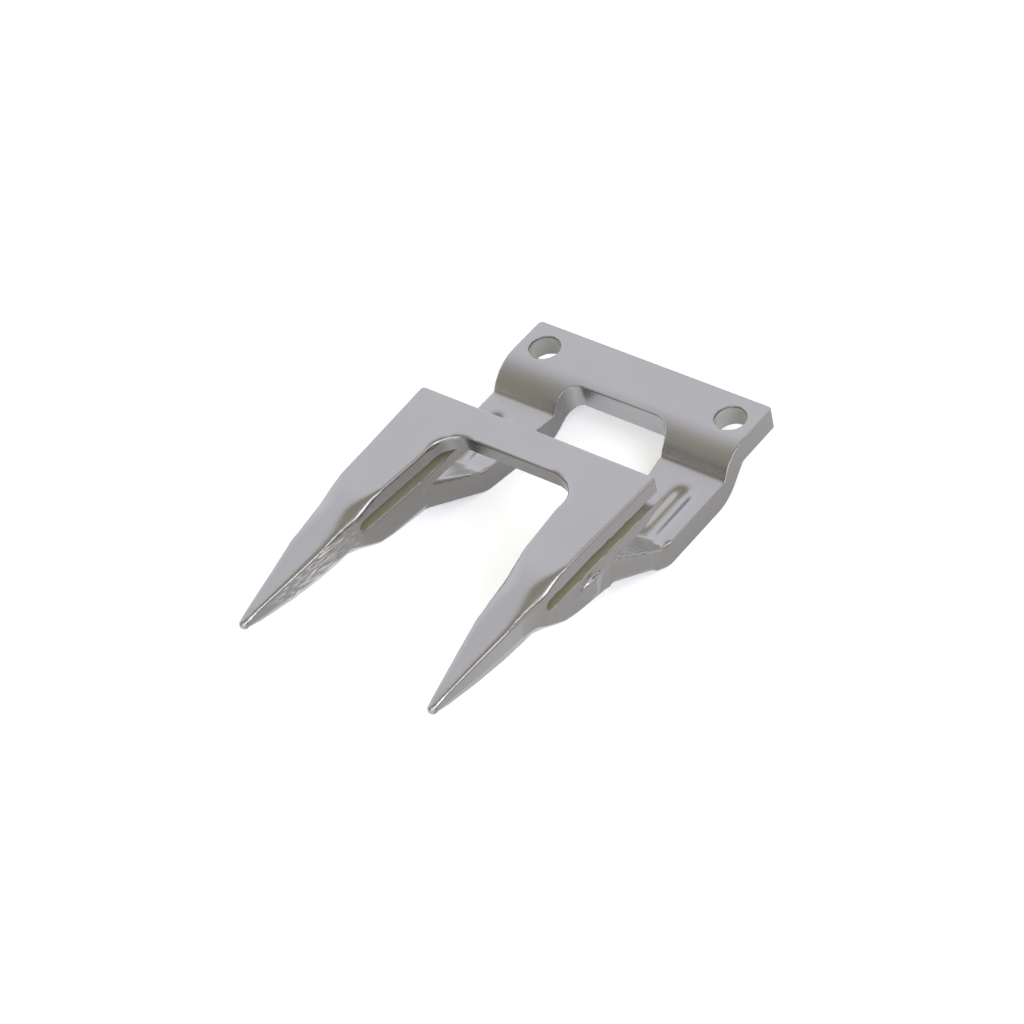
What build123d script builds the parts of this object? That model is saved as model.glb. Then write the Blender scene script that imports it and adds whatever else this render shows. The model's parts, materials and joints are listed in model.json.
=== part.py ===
from build123d import *
import os
from math import hypot
from typing import NamedTuple

# Double mower knife guard, one drop forging. Millimetres, Z up, fingers towards -Y.
# The origin lies on the bolting face, midway between the two bolt holes.

# Bolting flange, and the strap that steps down from it and runs forward as two legs
hole_spacing = 76.2
hole_diameter = 11.0
flange_thickness = 8.0
leg_thickness = 8.6
flange_side_margin = 9.55
rear_margin = 10.2
flange_corner_radius = 1.5
step_down = 8.6
crease_reach = 18.6
bend_top_reach = 14.6
bend_outer_radius = 14.0
bend_under_reach = 8.2
bend_inner_radius = 3.0
heel_radius = 15.0

# Opening behind the knife, which leaves two legs open to the front
cutout_reach = 9.5
cutout_radius = 7.0
cutout_half_width = 21.6
cutout_waist_half_width = 21.8
cutout_waist_reach = 20.0
leg_inner_half_width = 26.9
leg_outer_half_width = 47.7
leg_front_reach = 51.1
leg_front_radius = 4.0
toe_reach = 60.0
toe_half_width = 47.6
toe_radius = 10.0

# Ramp that lifts each leg into the belly of its finger, and the shoulder that it ends in
ramp_top_reach = 72.0
ramp_top_height = 4.9
ramp_radius = 20.0
shoulder_rear_reach = 76.8
shoulder_reach = 83.6
shoulder_height = 7.4
shoulder_stand_out = 1.6
shoulder_draw = 1.9
shoulder_foot_height = -1.0
shoulder_front_reach = 96.0
shoulder_front_height = 5.6
belly_reach = 77.0
belly_depth = 3.6
belly_front_reach = 96.0
belly_front_depth = 0.5
belly_bend_radius = 18.0
belly_inner_half_width = 29.4
belly_outer_half_width = 45.7
belly_front_inner = 30.0
belly_front_outer = 45.3

# Channel down the middle of each leg's pad, which opens into a dished ramp
channel_centre = 38.1
channel_width = 5.6
channel_depth = 1.7
channel_rear_reach = 26.5
channel_flare_length = 3.5
channel_flare_radius = 2.5
channel_mouth_half_width = 4.8
channel_mouth_setback = 0.4
dish_half_width = 7.8
dish_depth = 0.9
dish_front_reach = 66.0
dish_fade_length = 4.0

# Lip over the knife, with its bridge between the fingers
lip_height = 19.9
lip_thickness = 5.5
lip_rear_reach = 48.7
lip_half_width = 47.35
lip_corner_radius = 1.5
lip_edge_radius = 0.8
bridge_front_reach = 61.8
bridge_corner_radius = 9.5
mouth_half_width = 26.5

# Knife slot and the tongue under it
slot_floor = 9.9
slot_front_reach = 105.2
tongue_rear_reach = 46.6
tongue_rear_thickness = 1.2
tongue_root_reach = 60.0
tongue_root_depth = 4.5
tongue_root_radius = 12.0
tongue_corner_radius = 2.0

# Fingers
tip_reach = 156.0
nose_radius = 1.8
nose_height = 10.4

# Run-over of joined pieces and of cutters, never seen on the part
root_overlap = 1.0
slot_overrun = 5.0
tall = 40.0


class FingerSection(NamedTuple):
    """One cross-section of a finger, at a distance back from its point."""
    back: float
    centre: float
    half_width: float
    top: float
    roll_width: float
    roll_drop: float
    outer_crease: float
    inner_crease: float
    crease: float
    keel_half_width: float
    keel: float
    inner_rise: float = 0.0
    keel_shift: float = 0.0


POINT_SECTIONS = [
    FingerSection(2.2, 38.1, 1.75, 12.15, 0.8, 0.75, 1.5, 1.5, 9.6, 0.8, 8.7),
    FingerSection(7.5, 38.0, 2.3, 13.1, 0.8, 0.35, 1.8, 2.0, 9.2, 0.9, 6.9),
    FingerSection(21.5, 37.7, 4.5, 15.0, 1.4, 0.30, 2.8, 3.7, 7.6, 1.5, 4.0),
    FingerSection(33.0, 37.6, 6.3, 16.6, 1.8, 0.35, 3.7, 5.0, 6.9, 2.0, 2.4),
    FingerSection(41.0, 37.5, 7.1, 17.7, 2.4, 0.30, 4.4, 5.7, 6.8, 2.3, 1.9),
    FingerSection(46.5, 37.5, 7.7, 18.5, 3.6, 1.15, 5.9, 6.3, 6.7, 2.8, 2.3),
    FingerSection(50.5, 37.5, 8.25, 19.1, 4.6, 2.00, 7.0, 6.9, 4.4, 4.0, 1.5),
    FingerSection(55.0, 37.45, 8.4, 19.7, 3.2, 1.40, 7.5, 7.4, 2.0, 5.5, -0.1),
    FingerSection(58.0, 37.4, 8.5, 19.9, 2.2, 0.80, 7.8, 7.7, 0.6, 6.45, -1.05),
    FingerSection(63.0, 37.2, 8.7, 19.9, 1.2, 0.15, 8.2, 8.2, -0.6, 7.05, -1.8, 0.8, 0.15),
]
JAW_REAR = FingerSection(79.0, 36.7, 9.6, 19.9, 1.2, 0.10, 9.0, 9.0, -2.8, 7.45, -4.4, 2.3, 0.75)


def face_of(*corners):
    """A flat face from corners written as (across, up, rounding radius)."""
    points = [corner[:2] for corner in corners]
    radii = [corner[2] for corner in corners]
    return make_face(FilletPolyline(*points, radius=radii, close=True))


def both_sides(shape):
    """The shape and its mirror image across the guard's mid-plane."""
    return shape + mirror(shape, about=Plane.YZ)


def finger_section(part):
    """The closed outline of one finger section, standing upright across the finger."""
    plane = Plane(origin=(part.centre, part.back - tip_reach, 0), x_dir=(1, 0, 0), z_dir=(0, -1, 0))
    edge = part.top - part.roll_drop
    flat = part.half_width - part.roll_width
    corner = min(lip_edge_radius, 0.3 * part.half_width)
    bevel = hypot(part.outer_crease - part.keel_half_width, part.crease - part.keel)
    soft = min(0.3 * bevel, 0.6 * part.keel_half_width)
    return plane * face_of(
        (flat, part.top, corner),
        (part.half_width, edge, corner),
        (part.outer_crease, part.crease, soft),
        (part.keel_shift + part.keel_half_width, part.keel, soft),
        (part.keel_shift - part.keel_half_width, part.keel, soft),
        (-part.inner_crease, part.crease + part.inner_rise, soft),
        (-part.half_width, edge, corner),
        (-flat, part.top, corner),
    )


def finger():
    """One finger, from its ball nose back to the rear of its solid jaw."""
    body = loft([finger_section(part) for part in (*POINT_SECTIONS, JAW_REAR)], ruled=True)
    first = POINT_SECTIONS[0]
    nose = Pos(first.centre, nose_radius - tip_reach, nose_height) * Sphere(nose_radius)
    return body + nose


def strap_profile():
    """Side view of the strap: flange, step down, leg, ramp and belly."""
    leg_top = -step_down
    leg_bottom = leg_top - leg_thickness
    return Plane.YZ * face_of(
        (rear_margin, 0, 0),
        (-bend_top_reach, 0, bend_outer_radius),
        (-crease_reach, leg_top, 0.5),
        (-leg_front_reach, leg_top, 0),
        (-ramp_top_reach, ramp_top_height, ramp_radius),
        (-shoulder_reach, shoulder_height, 0),
        (-belly_front_reach, shoulder_front_height, 0),
        (-belly_front_reach, -belly_front_depth, 0),
        (-belly_reach, -belly_depth, belly_bend_radius),
        (-leg_front_reach, leg_bottom, toe_radius),
        (-crease_reach, leg_bottom, heel_radius),
        (-bend_under_reach, -flange_thickness, bend_inner_radius),
        (rear_margin, -flange_thickness, 0),
    )


def strap_plan():
    """Plan of the right half of the strap, with the cut-out's quarter taken off."""
    half_flange = hole_spacing / 2 + flange_side_margin
    return face_of(
        (0, rear_margin, 0),
        (0, -cutout_reach, 0),
        (cutout_half_width, -cutout_reach, cutout_radius),
        (cutout_waist_half_width, -cutout_waist_reach, 8),
        (leg_inner_half_width, -leg_front_reach, leg_front_radius),
        (belly_inner_half_width, -belly_reach, 12),
        (belly_front_inner, -belly_front_reach, 0),
        (belly_front_outer, -belly_front_reach, 0),
        (belly_outer_half_width, -belly_reach, 3),
        (toe_half_width, -toe_reach, leg_front_radius),
        (leg_outer_half_width, -leg_front_reach, leg_front_radius),
        (half_flange, rear_margin, flange_corner_radius),
    )


def strap():
    """The whole strap: its side view run across the guard and cut to its plan."""
    slab = extrude(strap_profile(), hole_spacing, both=True)
    plan = both_sides(extrude(strap_plan(), tall, both=True))
    metal = slab & plan
    return metal - both_sides(channel())


def channel():
    """Cutter for one leg's channel, round at the rear, and the dish up its ramp."""
    across = channel_width / 2
    rear = channel_rear_reach
    front = dish_front_reach + dish_fade_length
    right = [
        (across, -rear, across * 0.98),
        (across, channel_flare_length - leg_front_reach, channel_flare_radius),
        (channel_mouth_half_width, channel_mouth_setback - leg_front_reach, 0),
        (dish_half_width, -leg_front_reach, 1),
        (dish_half_width, -front, 0),
    ]
    left = [(-x, y, radius) for x, y, radius in reversed(right)]
    plan = extrude(face_of(*right, *left), tall, both=True)
    slope = (ramp_top_height + step_down) / (ramp_top_reach - leg_front_reach)
    floor = -step_down - channel_depth
    foot = leg_front_reach + (dish_depth - channel_depth) / slope
    dish_top = slope * (dish_front_reach - leg_front_reach) - step_down - dish_depth
    fade_top = slope * (front - leg_front_reach) - step_down
    side = Plane.YZ * face_of(
        (-rear, floor, 0),
        (-foot, floor, 3),
        (-dish_front_reach, dish_top, 3),
        (-front, fade_top, 0),
        (-front, lip_height, 0),
        (-rear, lip_height, 0),
    )
    return Pos(channel_centre, 0, 0) * (plan & extrude(side, tall, both=True))


def lip():
    """The lip: both fingers' top plates and the bridge between them, top edges rounded."""
    jaw = JAW_REAR
    front = jaw.back - tip_reach
    right = face_of(
        (0, -lip_rear_reach, 0),
        (0, -bridge_front_reach, 0),
        (mouth_half_width, -bridge_front_reach, bridge_corner_radius),
        (jaw.centre - jaw.half_width, front, 0),
        (jaw.centre + jaw.half_width, front, 0),
        (lip_half_width, -lip_rear_reach, lip_corner_radius),
    )
    plate = both_sides(Pos(0, 0, lip_height - lip_thickness) * extrude(right, lip_thickness))
    top_edges = plate.faces().sort_by(Axis.Z)[-1].edges()
    return fillet(top_edges.filter_by(lambda edge: edge.center().Y > front + lip_edge_radius), lip_edge_radius)


def tongue():
    """The tongue under the slot: flat on top, thinner towards its free rear end."""
    jaw = JAW_REAR
    draft = (jaw.top - slot_floor) / (jaw.top - jaw.crease)
    inner = jaw.centre - jaw.half_width + draft * (jaw.half_width - jaw.inner_crease)
    outer = jaw.centre + jaw.half_width - draft * (jaw.half_width - jaw.outer_crease)
    root = jaw.back - tip_reach - root_overlap
    plan = face_of(
        (inner, root, 0),
        (outer, root, 0),
        (lip_half_width, -tongue_rear_reach, tongue_corner_radius),
        (mouth_half_width, -tongue_rear_reach, tongue_corner_radius),
    )
    side = Plane.YZ * face_of(
        (-tongue_rear_reach, slot_floor, 0),
        (-tongue_rear_reach, slot_floor - tongue_rear_thickness, 0),
        (-tongue_root_reach, slot_floor - tongue_root_depth, tongue_root_radius),
        (root, slot_floor - tongue_root_depth, 0),
        (root, slot_floor, 0),
    )
    return extrude(plan, tall, both=True) & extrude(side, 2 * lip_half_width)


def shoulder():
    """The shoulder on a finger's side where its ramp ends: it fades out to the front and below."""
    throat = POINT_SECTIONS[-1]
    rear_side = JAW_REAR.centre + JAW_REAR.half_width
    front_side = throat.centre + throat.half_width
    plans = [
        Pos(0, 0, height) * face_of(
            (throat.centre, -shoulder_rear_reach, 0),
            (rear_side - draw, -shoulder_rear_reach, 0),
            (rear_side + shoulder_stand_out - draw, -shoulder_reach, 0),
            (front_side - draw, -shoulder_front_reach, 0),
            (throat.centre, -shoulder_front_reach, 0),
        )
        for height, draw in ((slot_floor, 0), (shoulder_foot_height, shoulder_draw))
    ]
    slope = (shoulder_height - ramp_top_height) / (shoulder_reach - ramp_top_reach)
    side = Plane.YZ * face_of(
        (-shoulder_rear_reach, shoulder_foot_height, 0),
        (-shoulder_rear_reach, shoulder_height - slope * (shoulder_reach - shoulder_rear_reach), 0),
        (-shoulder_reach, shoulder_height, 0),
        (-shoulder_front_reach, shoulder_front_height, 0),
        (-shoulder_front_reach, shoulder_foot_height, 0),
    )
    return loft(plans, ruled=True) & extrude(side, 2 * lip_half_width)


def slot():
    """Cutter for the knife slot, with a half-round front end, right through both fingers."""
    height = lip_height - lip_thickness - slot_floor
    rear = slot_overrun - tongue_rear_reach
    profile = Plane.YZ * face_of(
        (rear, slot_floor, 0),
        (rear, slot_floor + height, 0),
        (-slot_front_reach, slot_floor + height, height * 0.49),
        (-slot_front_reach, slot_floor, height * 0.49),
    )
    return extrude(profile, 2 * lip_half_width, both=True)


def bolt_holes():
    """Cutters for the two bolt holes."""
    drill = Cylinder(hole_diameter / 2, 4 * flange_thickness)
    return both_sides(Pos(hole_spacing / 2, 0, 0) * drill)


def knife_guard():
    """The whole forging."""
    metal = both_sides(finger() + tongue() + shoulder()) + lip() + strap()
    return metal - slot() - bolt_holes()


os.makedirs("parts", exist_ok=True)
export_step(knife_guard(), "parts/knife_guard.step")
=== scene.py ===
import json
import math

import bmesh
import bpy
from mathutils import Euler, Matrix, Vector
from mathutils.kdtree import KDTree

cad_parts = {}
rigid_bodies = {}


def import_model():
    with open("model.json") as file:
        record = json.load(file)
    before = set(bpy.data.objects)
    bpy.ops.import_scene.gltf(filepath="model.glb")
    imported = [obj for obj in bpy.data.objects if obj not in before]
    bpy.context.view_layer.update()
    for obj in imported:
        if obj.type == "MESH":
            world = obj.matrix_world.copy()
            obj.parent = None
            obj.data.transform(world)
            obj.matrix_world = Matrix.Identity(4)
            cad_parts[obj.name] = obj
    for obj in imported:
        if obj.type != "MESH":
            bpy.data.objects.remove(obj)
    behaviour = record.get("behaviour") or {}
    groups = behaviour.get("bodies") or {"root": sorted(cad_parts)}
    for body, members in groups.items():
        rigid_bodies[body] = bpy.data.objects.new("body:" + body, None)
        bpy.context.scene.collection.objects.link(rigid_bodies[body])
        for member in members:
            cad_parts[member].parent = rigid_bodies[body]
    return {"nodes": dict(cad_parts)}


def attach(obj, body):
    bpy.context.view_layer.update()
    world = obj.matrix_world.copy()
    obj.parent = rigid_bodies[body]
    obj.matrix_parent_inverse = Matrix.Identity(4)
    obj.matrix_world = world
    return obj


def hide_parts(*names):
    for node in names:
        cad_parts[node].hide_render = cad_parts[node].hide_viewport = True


# Double mower knife guard: one drop forging, cleaned and left bare. Metres, as the frame is.
# The fingers point along -Y, the flange lies at the rear, and the bolting face is at height 0.
# A TURN says how squarely a face looks some way: 0 where it doesn't, and 1 where it looks straight there.
MM = 0.001

# How fine the skin is, what counts as an edge, and how closely the skin follows it
JOIN_DISTANCE = 0.002 * MM
SKIN_STEP = 0.36 * MM
SKIN_TRIANGLES = 190000
EDGE_ANGLE = math.radians(24)
EDGE_POINT_STEP = 0.15 * MM
EDGE_SNAP = 0.27 * MM

# How each kind of edge is rounded: the width of the band along it, and the passes of smoothing
ROUNDING = {
    "channels": (3.0 * MM, 200),
    "hollows": (3.2 * MM, 55),
    "shoulders": (2.2 * MM, 16),
    "edges": (1.3 * MM, 6),
}

# The hollows that the forging fills lie between the crease under the flange's step and the jaws
HOLLOW_Y = (-76 * MM, -20 * MM)

# The step down the side of each jaw, where the lip's plate and the tongue join it. It is too faint to be
# drawn as an edge, so it is left out of them.
JAW_Y = -77.5 * MM
JAW_MARGIN = 1 * MM

# The middle of each leg, of its channel and of the bolt hole behind it
LEG_X = 38.1 * MM

# The channel in each leg's pad, from its round end to the top of the ramp
CHANNEL_HALF_WIDTH = 9 * MM
CHANNEL_Y = (-71 * MM, -25 * MM)
CHANNEL_TOP = 5 * MM

# The ramp from each leg's pad up to the belly, with the shallow dish that the channel runs out into
RAMP_Y = (-73 * MM, -42 * MM)
RAMP_Z = (-11 * MM, 4 * MM)
RAMP_PASSES = 60

# The ramps get a light haze of the holes' dull grey, painted light that lifts them, from where they turn up
# out of the pads
RAMP_UPPER_TURN = 0.3
RAMP_TURN = (0.15, 0.40)
RAMP_PAINTED_LIFT = 0.35

# The rounded bend from the flange down to the legs
BEND_Y = (-24 * MM, 0)
BEND_Z = (-12 * MM, -0.15 * MM)
BEND_PASSES = 30

# What counts as an upper face of a ramp or the bend, and how wide a rim is smoothed less
UPPER_TURN = 0.1
UPPER_RIM = 0.8 * MM

# The low shoulder on each finger's outer side, below the slot
SHOULDER_X = 43.5 * MM
SHOULDER_Y = (-98 * MM, -76 * MM)
SHOULDER_Z = (-3 * MM, 8.5 * MM)

# The scoop in the top edges of each finger, ahead of the slot
SCOOP_Y = (-121 * MM, -94 * MM)
SCOOP_Z = 15.5 * MM
SCOOP_RIM = 1.5 * MM
SCOOP_PASSES = 90

# The knife slot and the bolt holes, where a dull non-metal colour is painted in as light so that they don't
# go dark; in the slot it is olive, a painted reflection
SLOT_Y = (-105.5 * MM, -51 * MM)
SLOT_Z = (9.8 * MM, 14.5 * MM)
SLOT_OLIVE_FADE = 6 * MM
SLOT_TURN = 0.3
HOLE_RADIUS = 5.8 * MM
HOLE_DEPTH = 0.7 * MM
HOLE_TURN = 0.5

# The painted shade on the flanks: how squarely a face looks sideways where it begins and is full
SIDE_SHADE_TURN = (0.55, 0.90)

# The front walls of the lip get the same painted shade as the flanks, above this height
LIP_FOOT = 14 * MM

# The painted highlight streaks that run along the inner side of the left finger, ahead of the slot
STREAKS_Y = (-146 * MM, -104 * MM)
STREAKS_TURN = (0.75, 0.90)

# The steel: its two tones, the painted shade on the flanks, the pale painted highlight streaks, and a dull
# non-metal colour painted in as light, which is olive in the slot, a painted reflection, and grey in the
# bolt holes and on the ramps
STEEL_TONES = ("#9c9b9e", "#a3a2a5")
SIDE_SHADE_TONE = "#807e7d"
STREAK_HIGHLIGHT_TONE = "#c4c3c3"
PAINTED_SLOT_OLIVE = "#8e8a78"
PAINTED_LIFT_GREY = "#a0a09c"

# Sizes of its patterns: patches of tone, and shot grain with how much of its depth shows
PATCH_SIZE = 25 * MM
GRAIN_SIZE = 0.5 * MM
GRAIN_DEPTH = 0.05 * MM
GRAIN_STRENGTH = 0.015

# The painted highlight streaks are 0.45 mm apart and fifty times as long, and fade in across this range of
# the noise
STREAK_SPACING = MM / 2.2
STREAK_STRETCH = (1.0, 0.02, 1.0)
STREAK_RANGE = (0.50, 0.66)

# The satin of the steel, from the shot's dimples to the skin between them
STEEL_ROUGHNESS = (0.22, 0.30)

# Camera as the photograph was taken: a long lens, well above, from the right front
CAMERA_PLACE = (0.68446, -0.69993, 0.87060)
CAMERA_TURN = (46.067, 10.292, 37.510)
CAMERA_LENS = 140.6
CAMERA_SENSOR = 36

# The air around: the way in which it turns pale, and its two tones
PALE_SIDE = (-1.79, 0.877, 0)
DIM_AIR = "#a9a594"
PALE_AIR = "#fbfbfe"
AIR_FADE = (0.46, 1.41)
AIR_STRENGTH = 1.4

# The lamps face the middle of the guard from this far off
GUARD_MIDDLE = (0, -0.07, 0)
LAMP_DISTANCE = 1.5

# Each lamp's direction, width, height, brightness when seen, and colour
LAMPS = {
    "right_key": ((0.70, 0.03, 0.68), 0.6, 0.7, 3.2, "#f2f5ff"),
    "rear_glow": ((0.50, 0.55, 0.62), 1.2, 1.1, 0.95, "#f6f6fa"),
    "front_panel": ((0.62, -0.62, 0.55), 2.6, 1.5, 1.7, "#eef2ff"),
}

# The paper that the guard lies on, lit a little from within so that it stays white
FLOOR_SIZE = 8
FLOOR_DROP = 0.1 * MM
PAPER_WHITE = "#f2f3f6"
PAPER_GLOW = 0.34


def linear(hex_colour):
    """A linear colour from an sRGB hex value."""
    parts = [int(hex_colour[i:i + 2], 16) / 255 for i in (1, 3, 5)]
    return tuple(p / 12.92 if p <= 0.04045 else ((p + 0.055) / 1.055) ** 2.4 for p in parts) + (1.0,)


def socket_of(node, name):
    """An input by name or place. A mix node has several of one name: the one in use is taken."""
    if isinstance(name, int):
        return node.inputs[name]
    return [socket for socket in node.inputs if socket.name == name and socket.enabled][0]


def add_node(tree, kind, settings=None, values=None, links=None):
    """Adds a node, sets its own settings and socket values, and links its inputs."""
    node = tree.nodes.new(kind)
    for name, value in (settings or {}).items():
        setattr(node, name, value)
    for name, value in (values or {}).items():
        socket_of(node, name).default_value = value
    for name, source in (links or {}).items():
        tree.links.new(source, socket_of(node, name))
    return node


def result_of(node):
    """The colour result of a mix node."""
    return [output for output in node.outputs if output.enabled][0]


def select_only(piece):
    """Leaves one object selected and active."""
    bpy.ops.object.select_all(action="DESELECT")
    piece.select_set(True)
    bpy.context.view_layer.objects.active = piece


def use_modifier(piece, name, kind, **settings):
    """Adds a modifier, sets it and applies it."""
    select_only(piece)
    modifier = piece.modifiers.new(name, kind)
    for key, value in settings.items():
        setattr(modifier, key, value)
    bpy.ops.object.modifier_apply(modifier=modifier.name)


def merged_copy(node, name):
    """A copy of a frame node's mesh with its loose triangles joined."""
    select_only(node)
    bpy.ops.object.duplicate()
    copy = bpy.context.view_layer.objects.active
    bpy.ops.object.parent_clear(type="CLEAR_KEEP_TRANSFORM")
    copy.name = name
    bpy.ops.mesh.customdata_custom_splitnormals_clear()
    bpy.ops.object.mode_set(mode="EDIT")
    bpy.ops.mesh.select_all(action="SELECT")
    bpy.ops.mesh.remove_doubles(threshold=JOIN_DISTANCE)
    bpy.ops.object.mode_set(mode="OBJECT")
    return copy


def within(value, stretch):
    """Whether a value lies between the two ends of a stretch."""
    return stretch[0] < value < stretch[1]


def rise(value, start, end):
    """From 0 at the start to 1 at the end, and level beyond them."""
    return min(1, max(0, (value - start) / (end - start)))


def off_middle(value, stretch):
    """How far off a stretch's middle a value is: 0 there and 1 at either end."""
    half = (stretch[1] - stretch[0]) / 2
    return abs(value - sum(stretch) / 2) / half


def in_channel(place):
    """Whether a place is in the channel of one of the legs."""
    across = abs(abs(place.x) - LEG_X) < CHANNEL_HALF_WIDTH
    return across and within(place.y, CHANNEL_Y) and place.z < CHANNEL_TOP


def on_shoulder(place):
    """Whether a place is on the shoulder of one of the fingers."""
    return abs(place.x) > SHOULDER_X and within(place.y, SHOULDER_Y) and within(place.z, SHOULDER_Z)


def kind_of(edge, middle):
    """How an edge is to be rounded."""
    if in_channel(middle):
        return "channels"
    if on_shoulder(middle):
        return "shoulders"
    if not edge.is_convex and within(middle.y, HOLLOW_Y):
        return "hollows"
    return "edges"


def edge_points(shape):
    """Points along the shape's sharp edges, for each way in which they are rounded."""
    mesh = bmesh.new()
    mesh.from_mesh(shape.data)
    points = {kind: [] for kind in ROUNDING}
    for edge in mesh.edges:
        if len(edge.link_faces) != 2 or edge.calc_face_angle() < EDGE_ANGLE:
            continue
        start, end = (vertex.co for vertex in edge.verts)
        middle = (start + end) / 2
        if abs(middle.y - JAW_Y) < JAW_MARGIN and abs(start.y - end.y) < JAW_MARGIN:
            continue
        steps = max(1, int((end - start).length / EDGE_POINT_STEP))
        points[kind_of(edge, middle)] += [start.lerp(end, i / steps) for i in range(steps + 1)]
    mesh.free()
    return points


def tree_of(points):
    """A search tree of points."""
    tree = KDTree(len(points))
    for i, point in enumerate(points):
        tree.insert(point, i)
    tree.balance()
    return tree


def snap_to_edges(skin, tree):
    """Moves the vertices that lie close to a sharp edge onto it, so that the edge runs true."""
    for vertex in skin.data.vertices:
        place, _, distance = tree.find(vertex.co)
        if distance < EDGE_SNAP:
            vertex.co = place


def mark_band(skin, name, tree, band):
    """Vertex group that is full on the tree's points and fades out across a band."""
    group = skin.vertex_groups.new(name=name)
    for vertex in skin.data.vertices:
        distance = tree.find(vertex.co)[2]
        if distance < band:
            group.add([vertex.index], 1 - (distance / band) ** 3, "REPLACE")


def mark_scoops(skin, rims):
    """Vertex group over both fingers' scoops, fading out to the front, the rear and the rims."""
    group = skin.vertex_groups.new(name="scoops")
    for vertex in skin.data.vertices:
        along = off_middle(vertex.co.y, SCOOP_Y)
        if along < 1 and vertex.co.z > SCOOP_Z:
            inside = min(1, rims.find(vertex.co)[2] / SCOOP_RIM)
            group.add([vertex.index], (1 - along ** 4) * inside, "REPLACE")


def mark_upper_faces(skin, name, rims, lengthways, heights):
    """Vertex group over the upper faces of a stretch of the guard, fading out to their rims."""
    group = skin.vertex_groups.new(name=name)
    for vertex in skin.data.vertices:
        place = vertex.co
        if within(place.y, lengthways) and within(place.z, heights) and vertex.normal.z > UPPER_TURN:
            group.add([vertex.index], min(1, rims.find(place)[2] / UPPER_RIM), "REPLACE")


def painted_side_shade_of(place, facing):
    """How much painted shade a place has: on faces that look sideways, and forward on the lip."""
    squarely = abs(facing.x)
    if place.z > LIP_FOOT:
        squarely = max(squarely, -facing.y)
    return rise(squarely, *SIDE_SHADE_TURN)


def streak_highlights_of(place, facing):
    """How strongly a place is painted with highlight streaks: on the inner side of the left finger only."""
    if place.x > 0:
        return 0
    along = min(1, off_middle(place.y, STREAKS_Y))
    return (1 - along ** 2) * rise(facing.x, *STREAKS_TURN)


def in_hole(place, facing):
    """Whether a place is on the wall of a bolt hole."""
    from_middle = math.hypot(abs(place.x) - LEG_X, place.y)
    return from_middle < HOLE_RADIUS and place.z < -HOLE_DEPTH and abs(facing.z) < HOLE_TURN


def on_ramp(place, facing):
    """Whether a place is on the upper side of a ramp."""
    return within(place.y, RAMP_Y) and within(place.z, RAMP_Z) and facing.z > RAMP_UPPER_TURN


def slot_painted_olive_of(place, facing):
    """How much painted olive a place in the knife slot has, a painted reflection that fades out to the
    slot's open rear end.
    """
    if place.y < SLOT_Y[0] or not within(place.z, SLOT_Z) or abs(facing.x) > SLOT_TURN:
        return 0
    return rise(SLOT_Y[1] - place.y, 0, SLOT_OLIVE_FADE)


def mark_finish(skin):
    """Attributes of the finish and of its painted light and shade, which the steel reads. Bore says where
    the painted dull colour, carried by scale, is grey, not olive.
    """
    names = ("painted_side_shade", "scale", "bore", "streak_highlights")
    for name in names:
        skin.data.attributes.new(name, "FLOAT", "POINT")
    painted_side_shade, scale, bore, streak_highlights = (skin.data.attributes[name].data for name in names)
    for vertex in skin.data.vertices:
        place, facing = vertex.co, vertex.normal
        hole = in_hole(place, facing)
        ramp = on_ramp(place, facing)
        ramp_lift = RAMP_PAINTED_LIFT * rise(facing.y, *RAMP_TURN) if ramp else 0
        # Painted shade on faces that look sideways, and painted highlight streaks on the left finger's
        # inner side
        painted_side_shade[vertex.index].value = painted_side_shade_of(place, facing)
        streak_highlights[vertex.index].value = streak_highlights_of(place, facing)
        # Painted light in scale and bore: a dull non-metal colour in the holes and on the ramps, and olive
        # in the slot as a painted reflection
        bore[vertex.index].value = 1 if hole or ramp else 0
        scale[vertex.index].value = 1 if hole else max(slot_painted_olive_of(place, facing), ramp_lift)


def forged_skin(node):
    """The forging's skin: a fine even mesh on the frame's shape, with softly rounded edges."""
    # The sharp edges are found on the shape itself, before the skin takes its place
    shape = merged_copy(node, "forging_shape")
    trees = {kind: tree_of(points) for kind, points in edge_points(shape).items()}
    skin = merged_copy(node, "guard_forging")
    use_modifier(skin, "even skin", "REMESH", mode="VOXEL", voxel_size=SKIN_STEP)
    use_modifier(skin, "true faces", "SHRINKWRAP", target=shape, wrap_method="NEAREST_SURFACEPOINT")
    bpy.data.objects.remove(shape)
    snap_to_edges(skin, trees["edges"])
    # All groups are marked before the smoothing starts, and the wide forms are smoothed before the edges
    smoothing = {"ramps": RAMP_PASSES, "bend": BEND_PASSES, "scoops": SCOOP_PASSES}
    for kind, (band, passes) in ROUNDING.items():
        mark_band(skin, kind, trees[kind], band)
        smoothing[kind] = passes
    mark_scoops(skin, trees["edges"])
    mark_upper_faces(skin, "ramps", trees["edges"], RAMP_Y, RAMP_Z)
    mark_upper_faces(skin, "bend", trees["edges"], BEND_Y, BEND_Z)
    for group, passes in smoothing.items():
        use_modifier(skin, "soft " + group, "SMOOTH", factor=0.5, iterations=passes, vertex_group=group)
    triangles = sum(len(face.vertices) - 2 for face in skin.data.polygons)
    if triangles > SKIN_TRIANGLES:
        use_modifier(skin, "lighter skin", "DECIMATE", ratio=SKIN_TRIANGLES / triangles)
    select_only(skin)
    bpy.ops.object.shade_smooth()
    mark_finish(skin)
    return skin


def noise(tree, place, scale, detail, roughness):
    """Even procedural noise at a place."""
    values = {"Scale": scale, "Detail": detail, "Roughness": roughness}
    return add_node(tree, "ShaderNodeTexNoise", values=values, links={"Vector": place}).outputs["Fac"]


def attribute(tree, name):
    """One of the skin's own attributes of the finish."""
    return add_node(tree, "ShaderNodeAttribute", {"attribute_name": name}).outputs["Fac"]


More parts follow.
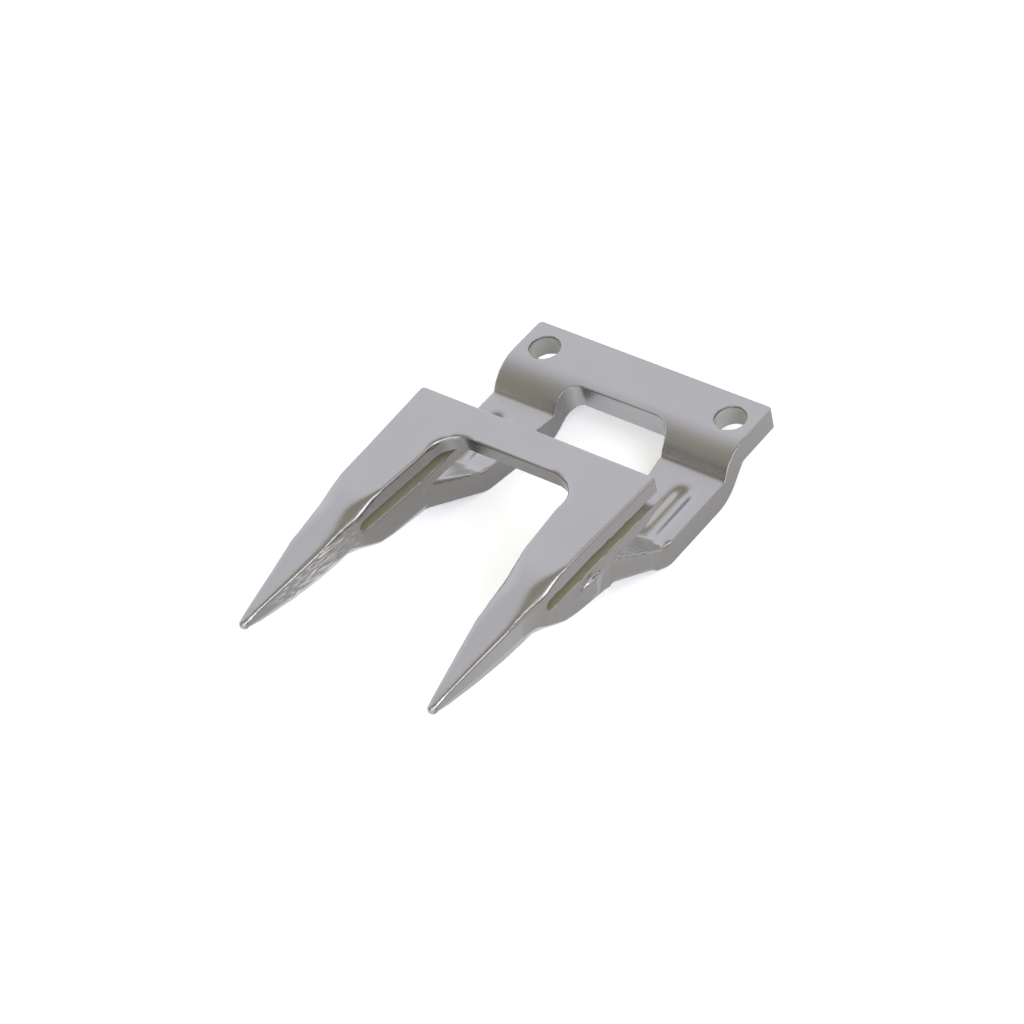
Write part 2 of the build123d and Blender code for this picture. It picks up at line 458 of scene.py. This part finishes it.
def blend(tree, factor, first, second):
    """One colour laid over another. Each is a hex value or the result of an earlier blend."""
    values = {}
    links = {"Factor": factor}
    for name, colour in (("A", first), ("B", second)):
        if isinstance(colour, str):
            values[name] = linear(colour)
        else:
            links[name] = colour
    return result_of(add_node(tree, "ShaderNodeMix", {"data_type": "RGBA"}, values, links))


def forged_steel():
    """Bare drop-forged steel, shot-cleaned: satin grey with a fine even grain, painted shade on the flanks,
    painted highlight streaks, and dull painted light: olive in the slot, grey in the holes and on the
    ramps.
    """
    material = bpy.data.materials.new("satin_forged_steel")
    material.use_nodes = True
    tree = material.node_tree
    tree.nodes.clear()
    place = add_node(tree, "ShaderNodeTexCoord").outputs["Object"]
    # Slow changes of tone, left by the scale and its cleaning
    steel = blend(tree, noise(tree, place, 1 / PATCH_SIZE, 3.0, 0.5), *STEEL_TONES)
    # Painted shade: the flanks and the lip's front walls are set a shade darker and warmer than the tops
    shaded_sides = blend(tree, attribute(tree, "painted_side_shade"), steel, SIDE_SHADE_TONE)
    # Painted highlight: the streaks are thin pale lines
    stretched = add_node(tree, "ShaderNodeMapping", links={"Vector": place})
    stretched.inputs["Scale"].default_value = STREAK_STRETCH
    lines = noise(tree, stretched.outputs["Vector"], 1 / STREAK_SPACING, 1.0, 0.5)
    pale_lines = add_node(tree, "ShaderNodeMapRange",
                          values={"From Min": STREAK_RANGE[0], "From Max": STREAK_RANGE[1]},
                          links={"Value": lines, "To Max": attribute(tree, "streak_highlights")})
    streaked = blend(tree, pale_lines.outputs["Result"], shaded_sides, STREAK_HIGHLIGHT_TONE)
    # Painted light: the dull colour that scale carries isn't metal, which keeps the insides of the slot and
    # the holes from going black and lifts the ramps; in the slot it is olive, a painted reflection
    scale = attribute(tree, "scale")
    painted_dull_colour = blend(tree, attribute(tree, "bore"), PAINTED_SLOT_OLIVE, PAINTED_LIFT_GREY)
    bare = add_node(tree, "ShaderNodeMath", {"operation": "SUBTRACT"}, {0: 1.0}, {1: scale})
    # Shot grain, 0.3 mm in life, drawn a little larger so that it shows: it breaks up the shine
    grain = noise(tree, place, 1 / GRAIN_SIZE, 2.0, 0.6)
    gloss = add_node(tree, "ShaderNodeMapRange", links={"Value": grain},
                     values={"To Min": STEEL_ROUGHNESS[0], "To Max": STEEL_ROUGHNESS[1]})
    dimples = add_node(tree, "ShaderNodeBump", links={"Height": grain},
                       values={"Strength": GRAIN_STRENGTH, "Distance": GRAIN_DEPTH})
    shader = add_node(tree, "ShaderNodeBsdfPrincipled",
                      links={"Base Color": blend(tree, scale, streaked, painted_dull_colour),
                             "Metallic": bare.outputs["Value"], "Roughness": gloss.outputs["Result"],
                             "Normal": dimples.outputs["Normal"]})
    add_node(tree, "ShaderNodeOutputMaterial", links={"Surface": shader.outputs["BSDF"]})
    return material


def floor_paper():
    """Matt white background paper."""
    material = bpy.data.materials.new("white_paper")
    material.use_nodes = True
    shader = material.node_tree.nodes["Principled BSDF"]
    shader.inputs["Base Color"].default_value = linear(PAPER_WHITE)
    shader.inputs["Roughness"].default_value = 0.9
    shader.inputs["Specular IOR Level"].default_value = 0.1
    shader.inputs["Emission Color"].default_value = linear("#ffffff")
    shader.inputs["Emission Strength"].default_value = PAPER_GLOW
    return material


def softbox(name, direction, width, height, radiance, colour):
    """A soft light that faces the guard, of a given brightness when seen."""
    bpy.ops.object.light_add(type="AREA")
    lamp = bpy.context.view_layer.objects.active
    lamp.name = name
    lamp.data.shape = "RECTANGLE"
    lamp.data.size = width
    lamp.data.size_y = height
    lamp.data.energy = radiance * math.pi * width * height
    lamp.data.color = linear(colour)[:3]
    way = Vector(direction).normalized()
    lamp.location = way * LAMP_DISTANCE + Vector(GUARD_MIDDLE)
    lamp.rotation_euler = way.to_track_quat("Z", "Y").to_euler()


def studio_air():
    """Soft surroundings: pale to the back left, dim and olive towards the front right."""
    world = bpy.data.worlds.new("studio_air")
    world.use_nodes = True
    tree = world.node_tree
    way = add_node(tree, "ShaderNodeTexCoord").outputs["Generated"]
    side = add_node(tree, "ShaderNodeVectorMath", {"operation": "DOT_PRODUCT"}, links={0: way})
    side.inputs[1].default_value = PALE_SIDE
    fade = add_node(tree, "ShaderNodeMapRange", {"interpolation_type": "SMOOTHSTEP"},
                    {"From Min": AIR_FADE[0], "From Max": AIR_FADE[1]}, {"Value": side.outputs["Value"]})
    air = blend(tree, fade.outputs["Result"], DIM_AIR, PALE_AIR)
    tree.links.new(air, tree.nodes["Background"].inputs["Color"])
    tree.nodes["Background"].inputs["Strength"].default_value = AIR_STRENGTH
    bpy.context.scene.world = world


def studio(lowest):
    """Floor, lights and camera."""
    bpy.ops.mesh.primitive_plane_add(size=FLOOR_SIZE, location=(0, 0, lowest - FLOOR_DROP))
    floor = bpy.context.view_layer.objects.active
    floor.name = "floor"
    floor.data.materials.append(floor_paper())
    for name, lamp in LAMPS.items():
        softbox(name, *lamp)
    studio_air()
    bpy.ops.object.camera_add(location=CAMERA_PLACE)
    camera = bpy.context.view_layer.objects.active
    camera.rotation_euler = Euler([math.radians(angle) for angle in CAMERA_TURN])
    camera.data.lens = CAMERA_LENS
    camera.data.sensor_width = CAMERA_SENSOR
    bpy.context.scene.camera = camera
    bpy.context.scene.view_settings.view_transform = "Standard"


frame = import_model()
bpy.ops.object.select_all(action="DESELECT")
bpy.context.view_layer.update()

guard = forged_skin(frame["nodes"]["knife_guard"])
guard.data.materials.clear()
guard.data.materials.append(forged_steel())
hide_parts("knife_guard")
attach(guard, "root")

studio(min(vertex.co.z for vertex in guard.data.vertices))
